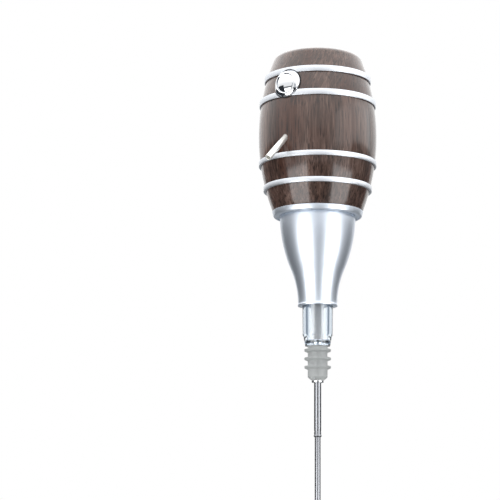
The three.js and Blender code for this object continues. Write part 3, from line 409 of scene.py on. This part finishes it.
def make_suction_tube(grey_steel):
    """The outer tube, with a bead and a crimped groove at its foot, and the inner one that slides in it."""
    bead = arc(OUTER_TUBE_RADIUS - 0.05, OUTER_TUBE_FOOT + 0.8, 0.4, -math.pi / 3, math.pi / 3, 6)
    groove = arc(
        OUTER_TUBE_RADIUS + 1.05, OUTER_TUBE_FOOT + 4.0, 1.2, math.pi * 1.1, math.pi * 0.9, 6)
    outer = ring("suction_tube_outer", [
        (OUTER_TUBE_BORE, OUTER_TUBE_FOOT), (OUTER_TUBE_RADIUS, OUTER_TUBE_FOOT), *bead,
        (OUTER_TUBE_RADIUS, OUTER_TUBE_FOOT + 1.6), (OUTER_TUBE_RADIUS, OUTER_TUBE_FOOT + 3.2), *groove,
        (OUTER_TUBE_RADIUS, OUTER_TUBE_FOOT + 4.8), (OUTER_TUBE_RADIUS, OUTER_TUBE_TOP),
        (OUTER_TUBE_BORE, OUTER_TUBE_TOP)], TUBE_SIDES)
    seat(outer, "housing", "suction_tube_upper", grey_steel)

    inner = ring("suction_tube_inner", [
        (INNER_TUBE_BORE, INNER_TUBE_FOOT), (INNER_TUBE_RADIUS, INNER_TUBE_FOOT),
        (INNER_TUBE_RADIUS, INNER_TUBE_TOP), (INNER_TUBE_BORE, INNER_TUBE_TOP)], TUBE_SIDES)
    soften(inner, 0.08, 2)
    seat(inner, "suction_tube", "suction_tube_lower", grey_steel)


# Spout and button


def make_spout(steel):
    spout = ring("spout_pipe", [
        (SPOUT_BORE, SPOUT_ROOT), (SPOUT_RADIUS, SPOUT_ROOT), (SPOUT_RADIUS, SPOUT_REACH),
        (SPOUT_BORE, SPOUT_REACH)], TUBE_SIDES)
    soften(spout, 0.3, 3)
    along_spout(spout)
    seat(spout, "housing", "spout_tube", steel)


def drape_on_staves(bezel, start):
    """Lowers the crown's rim with the barrel's curve, fading to nothing at its inner edge."""
    middle = barrel_radius(BUTTON_Z)
    for vertex in bezel.data.vertices:
        x, z = vertex.co.x / MM, vertex.co.z / MM
        out = math.hypot(x, z - BUTTON_Z)
        if -vertex.co.y / MM > BEZEL_PLANE - BEZEL_DEPTH * 0.4 and out > start:
            share = min((out - start) / (BEZEL_RADIUS - start), 1)
            share *= share * (3 - 2 * share)
            fall = middle - math.sqrt(barrel_radius(z) ** 2 - x ** 2)
            vertex.co.y += max(fall, 0) * share * MM


def make_bezel_shadow_ring(shadow_black):
    """A thin black ring round the bezel's foot: painted shadow, standing for the shadow gap there."""
    shadow_ring = on_bezel_plane(ring("bezel_shadow_ring", [
        (BEZEL_RADIUS + 0.02, -BEZEL_DEPTH), (SHADOW_RING_RADIUS, -BEZEL_DEPTH), (SHADOW_RING_RADIUS, BEZEL_HEIGHT),
        (BEZEL_RADIUS + 0.02, BEZEL_HEIGHT)]))
    cut(shadow_ring, "INTERSECT", barrel_form(SHADOW_RING_PROUD))
    cut(shadow_ring, "DIFFERENCE", barrel_form(0.03))
    bpy.ops.object.mode_set(mode="EDIT")
    bpy.ops.mesh.select_all(action="SELECT")
    bpy.ops.mesh.bisect(plane_co=(0, 0, (COVER_SEAM - SEAM_GAP) * MM), plane_no=(0, 0, 1), use_fill=True,
                        clear_outer=True)
    bpy.ops.object.mode_set(mode="OBJECT")
    seat(shadow_ring, "housing", None, shadow_black)


def make_bezel(chrome):
    sleeve_top = -BEZEL_DEPTH * 0.75
    crown = [(BEZEL_RADIUS, 0.1), *arc(6.81, -2.03, 4.5, math.radians(35), math.radians(80), 14)]
    bezel = ring("button_collar", [
        (BUTTON_BORE, -BEZEL_DEPTH), (BEZEL_SLEEVE, -BEZEL_DEPTH), (BEZEL_SLEEVE, sleeve_top),
        (BEZEL_RADIUS, sleeve_top), *crown, (BUTTON_BORE, BEZEL_HEIGHT - 0.25)])
    on_bezel_plane(bezel)
    drape_on_staves(bezel, start=7.6)
    seat_form = barrel_form(0.08)
    cut(seat_form, "DIFFERENCE", on_bezel_plane(
        rod("sleeve_core", BEZEL_SLEEVE + 0.1, -BEZEL_DEPTH - 1, BEZEL_HEIGHT + 1, MEDIUM_SIDES)))
    cut(bezel, "DIFFERENCE", seat_form)
    seat(bezel, "housing", "button_bezel", chrome)


def make_cap(chrome):
    """A hollow cap with a flange at its foot that stops it, and a shallow dome over a rounded rim."""
    edge = BEZEL_HEIGHT - 0.9
    rounding = 0.5
    rim = BUTTON_RADIUS - rounding
    rise = 1.5
    sphere = (rim ** 2 + rise ** 2) / (2 * rise)
    top = edge + rounding + rise
    dome = arc(0, top - sphere, sphere, math.acos(rim / sphere), QUARTER_TURN, 14)
    dome[-1] = (0, top)
    flange = -BEZEL_DEPTH - 0.3
    foot = flange - 1.2
    cap = turned("button_dome", [
        (0, foot), (1.6, foot), (1.6, edge - 1.2), (5.9, edge - 1.2), (5.9, foot),
        (8.2, foot), (8.2, flange), (BUTTON_RADIUS, flange), (BUTTON_RADIUS, edge),
        *arc(rim, edge, rounding, 0, math.pi / 4, 4)[1:], *dome[1:]])
    on_bezel_plane(cap)
    seat(cap, "button", "button_cap", chrome)


# Finishes

# Numbers of the colour mix node's sockets, which share their names with its other sockets
MIX_SHARE = 0
MIX_FIRST = 6
MIX_SECOND = 7
MIX_RESULT = 2


def hex_colour(code):
    """An sRGB hex value as linear colour."""
    parts = [int(code[i:i + 2], 16) / 255 for i in (1, 3, 5)]
    return tuple(c / 12.92 if c <= 0.04045 else ((c + 0.055) / 1.055) ** 2.4 for c in parts) + (1,)


def across(size_mm):
    """A noise pattern's scale, from the size of its spots or lines in millimetres."""
    return 1 / (size_mm * MM)


def set_inputs(node, inputs):
    """Gives sockets a value or a link, from an output or from a node's first output."""
    for socket, value in inputs.items():
        if isinstance(value, bpy.types.Node):
            value = value.outputs[0]
        if isinstance(value, bpy.types.NodeSocket):
            node.id_data.links.new(value, node.inputs[socket])
        else:
            node.inputs[socket].default_value = value


def add_node(tree, kind, inputs=None, stops=(), **settings):
    """Adds a node with its settings, the stops of its colour ramp and its links."""
    made = tree.nodes.new(kind)
    for key, value in settings.items():
        setattr(made, key, value)
    for i, (position, code) in enumerate(stops):
        if i == len(made.color_ramp.elements):
            made.color_ramp.elements.new(1.0)
        made.color_ramp.elements[i].position = position
        made.color_ramp.elements[i].color = hex_colour(code)
    set_inputs(made, inputs or {})
    return made


def finish(name, colour, **sockets):
    """A new material with its shader's own sockets set."""
    material = bpy.data.materials.new(name)
    material.use_nodes = True
    tree = material.node_tree
    shader = tree.nodes["Principled BSDF"]
    shader.inputs["Base Color"].default_value = hex_colour(colour)
    for key, value in sockets.items():
        shader.inputs[key.replace("_", " ").title().replace("Ior", "IOR")].default_value = value
    return material, tree, shader


def object_place(tree, stretch=1.0):
    """Where a point lies on the piece, for patterns. A stretch below 1 draws them out upwards."""
    place_on = add_node(tree, "ShaderNodeTexCoord").outputs["Object"]
    if stretch == 1.0:
        return place_on
    return add_node(tree, "ShaderNodeMapping", {"Vector": place_on, "Scale": (1, 1, stretch)}).outputs[0]


def vary_surface(tree, shader, pattern, smoothest, roughest, depth_mm=0.0, strength=0.0):
    """Lets a pattern vary the roughness, and raises the surface by it where a depth is given."""
    gloss = add_node(tree, "ShaderNodeMapRange", {
        "Value": pattern, "To Min": smoothest, "To Max": roughest})
    set_inputs(shader, {"Roughness": gloss})
    if depth_mm:
        relief = add_node(tree, "ShaderNodeBump", {
            "Height": pattern, "Distance": depth_mm * MM, "Strength": strength})
        set_inputs(shader, {"Normal": relief})


def wood_print(name, slant, shift):
    """Printed walnut grain under a clear coat, on moulded ABS: dark fibres, with a soft sheen over them.

    The slant turns the grain as it rises, and the shift picks the stretch of print that shows. Real fibres
    are about 0.3 mm wide and pores 0.15 mm. Both are drawn some six times as coarse, so that they show.
    """
    middle_radius = 0.041
    material, tree, shader = finish(
        name, "#5f4a43", roughness=0.45, specular_ior_level=0.15, coat_weight=1.0, coat_roughness=0.14,
        coat_ior=1.5)
    place_on = object_place(tree)
    height = add_node(tree, "ShaderNodeSeparateXYZ", {"Vector": place_on}).outputs["Z"]
    twist = add_node(tree, "ShaderNodeMath", {0: height, 1: slant / middle_radius}, operation="MULTIPLY")
    slanted = add_node(
        tree, "ShaderNodeVectorRotate", {"Vector": place_on, "Angle": twist}, rotation_type="Z_AXIS")
    grain = add_node(tree, "ShaderNodeMapping", {
        "Vector": slanted, "Location": (shift, 0, 0), "Scale": (1, 1, 0.042)})

    bands = add_node(tree, "ShaderNodeTexNoise", {
        "Vector": grain, "Scale": across(16.667), "Detail": 2, "Distortion": 0.6})
    fibres = add_node(tree, "ShaderNodeTexNoise", {
        "Vector": grain, "Scale": across(1.7857), "Detail": 4, "Roughness": 0.6, "Distortion": 0.3})
    pores = add_node(tree, "ShaderNodeTexNoise", {"Vector": grain, "Scale": across(0.86957), "Detail": 2})
    heart = add_node(tree, "ShaderNodeTexNoise", {
        "Vector": grain, "Scale": across(23.81), "Detail": 1, "Distortion": 0.8})

    band_part = add_node(tree, "ShaderNodeMath", {0: bands, 1: 0.45}, operation="MULTIPLY")
    mixed = add_node(tree, "ShaderNodeMath", {0: fibres, 1: 0.55, 2: band_part}, operation="MULTIPLY_ADD")
    tone = add_node(tree, "ShaderNodeValToRGB", {"Fac": mixed}, stops=[
        (0.39, "#3b2820"), (0.47, "#533d34"), (0.53, "#684f45"), (0.62, "#866c61")])
    heart_part = add_node(tree, "ShaderNodeMapRange", {
        "Value": heart, "From Min": 0.5, "From Max": 0.64, "To Min": 0.0, "To Max": 0.6})
    reddened = add_node(tree, "ShaderNodeMix", {
        MIX_SHARE: heart_part, MIX_FIRST: tone, MIX_SECOND: hex_colour("#573020")}, data_type="RGBA")
    pore_shade = add_node(tree, "ShaderNodeValToRGB", {"Fac": pores}, stops=[
        (0.36, "#948781"), (0.46, "#ffffff")])
    colour = add_node(tree, "ShaderNodeMix", {
        MIX_SHARE: 1.0, MIX_FIRST: reddened.outputs[MIX_RESULT], MIX_SECOND: pore_shade},
        data_type="RGBA", blend_type="MULTIPLY")
    relief = add_node(tree, "ShaderNodeBump", {"Height": fibres, "Distance": 0.04 * MM, "Strength": 0.5})
    set_inputs(shader, {"Base Color": colour.outputs[MIX_RESULT], "Normal": relief})
    return material


def satin_silver(name, colour):
    """Moulded ABS with satin silver plating: a fine matt grain widens every reflection.

    The real grain is finer than 0.1 mm. It is drawn at 0.38 mm, as coarse as it needs to show.
    """
    material, tree, shader = finish(name, colour, metallic=0.84, roughness=0.38)
    fine = add_node(tree, "ShaderNodeTexNoise", {
        "Vector": object_place(tree), "Scale": across(0.38462), "Detail": 2})
    vary_surface(tree, shader, fine, 0.34, 0.44, 0.004, 0.4)
    return material


def polished_chrome():
    """Chrome plate, mirror-polished, with the faint haze of handling in patches some 6 mm wide."""
    material, tree, shader = finish("polished_chrome", "#e9ebee", metallic=1.0, roughness=0.05)
    haze = add_node(tree, "ShaderNodeTexNoise", {
        "Vector": object_place(tree), "Scale": across(6.25), "Detail": 3})
    vary_surface(tree, shader, haze, 0.03, 0.08)
    return material


def drawn_steel(name, colour, smoothest, roughest):
    """Drawn stainless steel: fine lines run along it and blur its reflections.

    Real drawing lines are finer than 0.1 mm. They are drawn 0.42 mm apart, as coarse as they need to show.
    """
    material, tree, shader = finish(name, colour, metallic=1.0, roughness=smoothest)
    lines = add_node(tree, "ShaderNodeTexNoise", {
        "Vector": object_place(tree, 0.02), "Scale": across(0.41667), "Detail": 3})
    vary_surface(tree, shader, lines, smoothest, roughest, 0.005, 0.4)
    return material


def blasted_steel_painted_bright():
    """Bead-blasted stainless tube with fine grain, coloured near-white: painted light that keeps it evenly
    bright.

    Real bead marks are about 0.1 mm wide. They are drawn at 0.45 mm, as coarse as they need to show.
    """
    material, tree, shader = finish("stainless_spout_painted_light", "#fffefa", metallic=0.52, roughness=0.22)
    marks = add_node(tree, "ShaderNodeTexNoise", {
        "Vector": object_place(tree), "Scale": across(0.45455), "Detail": 2})
    vary_surface(tree, shader, marks, 0.17, 0.27, 0.004, 0.4)
    return material


def clear_acrylic():
    """Clear moulded acrylic, polished and a little grey in its thickness, with the mould's faint ripple."""
    material, tree, shader = finish(
        "clear_acrylic", "#f4f7f9", roughness=0.02, ior=1.49, transmission_weight=1.0)
    ripple = add_node(tree, "ShaderNodeTexNoise", {
        "Vector": object_place(tree), "Scale": across(4.5455), "Detail": 1})
    relief = add_node(tree, "ShaderNodeBump", {"Height": ripple, "Distance": 0.01 * MM, "Strength": 0.15})
    set_inputs(shader, {"Normal": relief})
    tint = add_node(tree, "ShaderNodeVolumeAbsorption", {"Color": hex_colour("#d8dee4"), "Density": 125.0})
    set_inputs(tree.nodes["Material Output"], {"Volume": tint})
    return material


def frosted_acrylic():
    """Frosted extruded acrylic with lengthwise streaks: cloudy, so that its walls draw no lines."""
    material, tree, shader = finish(
        "frosted_acrylic", "#ffffff", roughness=0.35, ior=1.15, transmission_weight=0.7)
    streaks = add_node(tree, "ShaderNodeTexNoise", {
        "Vector": object_place(tree, 0.05), "Scale": across(1.1111), "Detail": 2})
    vary_surface(tree, shader, streaks, 0.25, 0.5, 0.02, 0.4)
    return material


def silicone(name, colour, clearness):
    """Translucent moulded silicone: soft, slightly cloudy and a little dusty, in spots of 2 mm."""
    material, tree, shader = finish(
        name, colour, roughness=0.45, ior=1.41, transmission_weight=clearness)
    cloud = add_node(tree, "ShaderNodeTexNoise", {
        "Vector": object_place(tree), "Scale": across(2.0), "Detail": 3})
    vary_surface(tree, shader, cloud, 0.38, 0.55, 0.02, 0.3)
    return material


def moulded(name, colour, roughness, grain_mm=0.35):
    """Injection-moulded plastic: its spark-eroded grain breaks up the gloss.

    The usual grain is drawn about twice as coarse as the real one, so that it shows. The cells' film has
    slow ripples instead, some 2 mm wide.
    """
    material, tree, shader = finish(name, colour, roughness=roughness)
    grain = add_node(tree, "ShaderNodeTexNoise", {
        "Vector": object_place(tree), "Scale": across(grain_mm), "Detail": 2})
    vary_surface(tree, shader, grain, roughness - 0.06, roughness + 0.08, 0.01, 0.5)
    return material


def plain_metal(name, colour, roughness):
    """Plated or bare small metal parts, dulled by slight tarnish in spots of 3 mm."""
    material, tree, shader = finish(name, colour, metallic=1.0, roughness=roughness)
    tarnish = add_node(tree, "ShaderNodeTexNoise", {
        "Vector": object_place(tree), "Scale": across(2.8571), "Detail": 3})
    vary_surface(tree, shader, tarnish, roughness - 0.08, roughness + 0.1)
    return material


# Studio, in metres

CAMERA_AIM_Z = 0.07119
CAMERA_DISTANCE = 1.3965
FLOOR_Z = -0.2855
FLOOR_SIZE = 8
LIT_MIDDLE_Z = 0.11
MATT_LIGHT = 0.66
REFLECTED_LOW = 0.99
REFLECTED_HIGH = 2.52


def toward(azimuth, elevation):
    """Unit vector from the object, with azimuth 0 at its front and positive to the right."""
    a, e = math.radians(azimuth), math.radians(elevation)
    return Vector((math.sin(a) * math.cos(e), -math.cos(a) * math.cos(e), math.sin(e)))


def add_camera():
    """The photograph's view: from the right of the front and a little below, with the object off-centre."""
    lens = bpy.data.cameras.new("camera")
    lens.lens = 136.8
    lens.sensor_width = 36
    lens.shift_x = -0.1353
    lens.clip_end = 20
    back = toward(azimuth=33, elevation=-10.1)
    camera = bpy.data.objects.new("camera", lens)
    camera.location = Vector((0, 0, CAMERA_AIM_Z)) + back * CAMERA_DISTANCE
    camera.rotation_euler = (-back).to_track_quat("-Z", "Y").to_euler()
    bpy.context.scene.collection.objects.link(camera)
    bpy.context.scene.camera = camera


def light_world():
    """White all round: full white to the eye and through clear parts, and less of it on matt surfaces.

    Reflections see it brighten with height, like a ceiling of lamps, which gives the sheen near the top.
    """
    world = bpy.data.worlds.new("white_backdrop")
    bpy.context.scene.world = world
    world.use_nodes = True
    tree = world.node_tree
    path = add_node(tree, "ShaderNodeLightPath").outputs
    seen = add_node(tree, "ShaderNodeMath", {
        0: path["Is Camera Ray"], 1: path["Is Transmission Ray"]}, operation="MAXIMUM")
    plain = add_node(tree, "ShaderNodeMath", {
        0: seen, 1: 1 - MATT_LIGHT, 2: MATT_LIGHT}, operation="MULTIPLY_ADD")
    direction = add_node(tree, "ShaderNodeTexCoord").outputs["Generated"]
    rise = add_node(tree, "ShaderNodeSeparateXYZ", {"Vector": direction}).outputs["Z"]
    reflected = add_node(tree, "ShaderNodeMapRange", {
        "Value": rise, "From Min": 0.1, "From Max": 0.85, "To Min": REFLECTED_LOW - MATT_LIGHT,
        "To Max": REFLECTED_HIGH - MATT_LIGHT}, interpolation_type="SMOOTHSTEP")
    strength = add_node(tree, "ShaderNodeMath", {
        0: path["Is Glossy Ray"], 1: reflected, 2: plain}, operation="MULTIPLY_ADD")
    set_inputs(tree.nodes["Background"], {"Color": (1, 1, 1, 1), "Strength": strength})


def add_floor():
    """A pale floor that shows greyer in reflections, so that metal keeps its shape low down."""
    pick()
    bpy.ops.mesh.primitive_plane_add(size=FLOOR_SIZE, location=(0, 0, FLOOR_Z))
    floor = bpy.context.object
    floor.name = "floor"
    material, tree, shader = finish("pale_floor", "#f1f1f0", roughness=0.8, specular_ior_level=0.0)
    path = add_node(tree, "ShaderNodeLightPath").outputs
    shade = add_node(tree, "ShaderNodeMix", {
        MIX_SHARE: path["Is Glossy Ray"], MIX_FIRST: hex_colour("#f1f1f0"),
        MIX_SECOND: hex_colour("#a5a7a9")}, data_type="RGBA")
    set_inputs(shader, {"Base Color": shade.outputs[MIX_RESULT]})
    floor.data.materials.append(material)


def add_softbox(name, azimuth, elevation, distance, width, height, radiance, on_matt=True, on_gloss=True,
                upright=False):
    """A soft panel that looks at the middle of the object, or straight ahead if it stands upright."""
    back = toward(azimuth, elevation)
    light = bpy.data.lights.new(name, "AREA")
    light.shape = "RECTANGLE"
    light.size = width
    light.size_y = height
    light.energy = radiance * math.pi * width * height
    panel = bpy.data.objects.new(name, light)
    panel.location = Vector((0, 0, LIT_MIDDLE_Z)) + back * distance
    panel.rotation_mode = "QUATERNION"
    facing = toward(azimuth, 0) if upright else back
    panel.rotation_quaternion = (-facing).to_track_quat("-Z", "Y")
    panel.visible_camera = False
    panel.visible_diffuse = on_matt
    panel.visible_glossy = on_gloss
    bpy.context.scene.collection.objects.link(panel)


def glowing_card(name, colour, strength):
    """Card that gives off a set light of its own, so that it looks the same in every reflection."""
    card = bpy.data.materials.new(name)
    card.use_nodes = True
    tree = card.node_tree
    glow = add_node(tree, "ShaderNodeEmission", {"Color": hex_colour(colour), "Strength": strength})
    set_inputs(tree.nodes["Material Output"], {"Surface": glow})
    return card


def dark_card():
    """Card that is almost black in reflections, and mid-grey through clear parts."""
    in_reflections = 0.045
    through_clear = 0.545
    card = glowing_card("dark_card", "#d9e6f7", in_reflections)
    tree = card.node_tree
    path = add_node(tree, "ShaderNodeLightPath").outputs
    strength = add_node(tree, "ShaderNodeMath", {
        0: path["Is Transmission Ray"], 1: through_clear - in_reflections, 2: in_reflections},
        operation="MULTIPLY_ADD")
    set_inputs(tree.nodes["Emission"], {"Strength": strength})
    return card


def add_flag(name, card, azimuth, distance, width, low, high):
    """An upright card that the camera, matt surfaces and shadows don't see."""
    pick()
    middle = toward(azimuth, 0) * distance + Vector((0, 0, (low + high) / 2))
    bpy.ops.mesh.primitive_plane_add(
        size=1, location=middle, rotation=(QUARTER_TURN, 0, math.radians(azimuth)))
    flag = bpy.context.object
    flag.name = name
    flag.scale = (width, high - low, 1)
    flag.data.materials.append(card)
    flag.visible_camera = flag.visible_diffuse = flag.visible_shadow = False
    return flag


def add_flags():
    """Dark cards that give metal and clear parts their dark edges, and a grey one that dims the middle."""
    dark = dark_card()
    add_flag("flag_front", dark, azimuth=34, distance=0.62, width=0.52, low=FLOOR_Z, high=0.052)
    add_flag("flag_left", dark, azimuth=-72, distance=0.6, width=0.94, low=FLOOR_Z, high=0.232)
    add_flag("flag_right", dark, azimuth=136, distance=0.6, width=0.86, low=FLOOR_Z, high=0.222)
    grey = glowing_card("grey_panel", "#eef2f8", 0.62)
    panel = add_flag("panel_front", grey, azimuth=36, distance=0.64, width=0.42, low=0.052, high=0.272)
    panel.visible_transmission = False


# The whole object

add_camera()
light_world()
add_floor()
add_flags()
add_softbox("left_softbox", azimuth=-9, elevation=-27, distance=0.48, width=0.34, height=0.36,
            radiance=3.8, on_matt=False, upright=True)
add_softbox("right_softbox", azimuth=86, elevation=-27, distance=0.48, width=0.34, height=0.36,
            radiance=3.8, on_matt=False, upright=True)
add_softbox("right_haze", azimuth=110, elevation=18, distance=0.75, width=1.35, height=0.3,
            radiance=1.0, on_matt=False, upright=True)
add_softbox("top_softbox", azimuth=20, elevation=55, distance=1.2, width=0.9, height=0.9,
            radiance=0.6, on_gloss=False)
bpy.context.scene.view_settings.view_transform = "Standard"

silver = satin_silver("satin_silver_plating", "#e3ebf5")
chrome = polished_chrome()
make_barrel(wood_print("wood_print_upright", 0.0, 0.55), wood_print("wood_print_slanted", -0.30, 0.2))
make_hoops(satin_silver("satin_hoop_plating", "#dfe3e9"))
make_base_ring(silver)
make_cone(silver)
make_neck(clear_acrylic())
make_riser(drawn_steel("bright_stainless_ferrule", "#dfe0e1", 0.14, 0.32), frosted_acrylic())
make_plug(silicone("plug_silicone", "#dfe2e2", 0.35))
# Greyer than the ferrule and darker than bare steel: painted shade, so that the thin tube reads against a
# white backdrop
make_suction_tube(drawn_steel("stainless_tube_painted_shade", "#84868a", 0.26, 0.38))
# Near-white spout: painted light, so that it stays evenly bright
make_spout(blasted_steel_painted_bright())
make_bezel(chrome)
make_cap(chrome)
# A black ring round the bezel: painted shadow for the shadow gap at its foot
make_bezel_shadow_ring(moulded("painted_shadow_black", "#1b1b1c", 0.7))


def numbered(name, count):
    return [f"{name}_{i + 1}" for i in range(count)]


# What is inside keeps the model's own shapes
inner_finishes = {
    moulded("black_abs", "#242528", 0.5): [
        "neck_clamp_ring", "pump_chassis", "pump_head", "battery_holder", "switch_body"],
    moulded("off_white_acetal", "#d9d9d4", 0.42): [
        "air_manifold", "wobble_plate", "check_valve", "spout_elbow", "switch_plunger"],
    plain_metal("bright_zinc", "#b9bcc0", 0.34): [
        *numbered("chassis_screw", 3), *numbered("holder_screw", 4), *numbered("board_screw", 2),
        "bezel_nut"],
    plain_metal("nickel_contact", "#c6c7c5", 0.28): [
        "cover_contact", "crank_shaft", *numbered("battery_spring", 4)],
    silicone("hose_silicone", "#e9e6df", 0.25): ["air_hose_lower", "air_hose_upper", "spout_hose"],
    silicone("seal_silicone", "#cfd2d2", 0.1): ["neck_seal", "pump_diaphragm"],
    plain_metal("motor_can", "#b3b5b8", 0.3): ["pump_motor"],
    moulded("solder_resist", "#1f5c38", 0.3): ["control_board"],
    moulded("cell_jacket", "#34383f", 0.28, grain_mm=2.0): numbered("battery", 4),
    moulded("lead_jacket", "#8f2b26", 0.4): numbered("motor_lead", 2),
}
for material, names in inner_finishes.items():
    for name in names:
        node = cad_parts[name]
        node.data.materials.clear()
        node.data.materials.append(material)
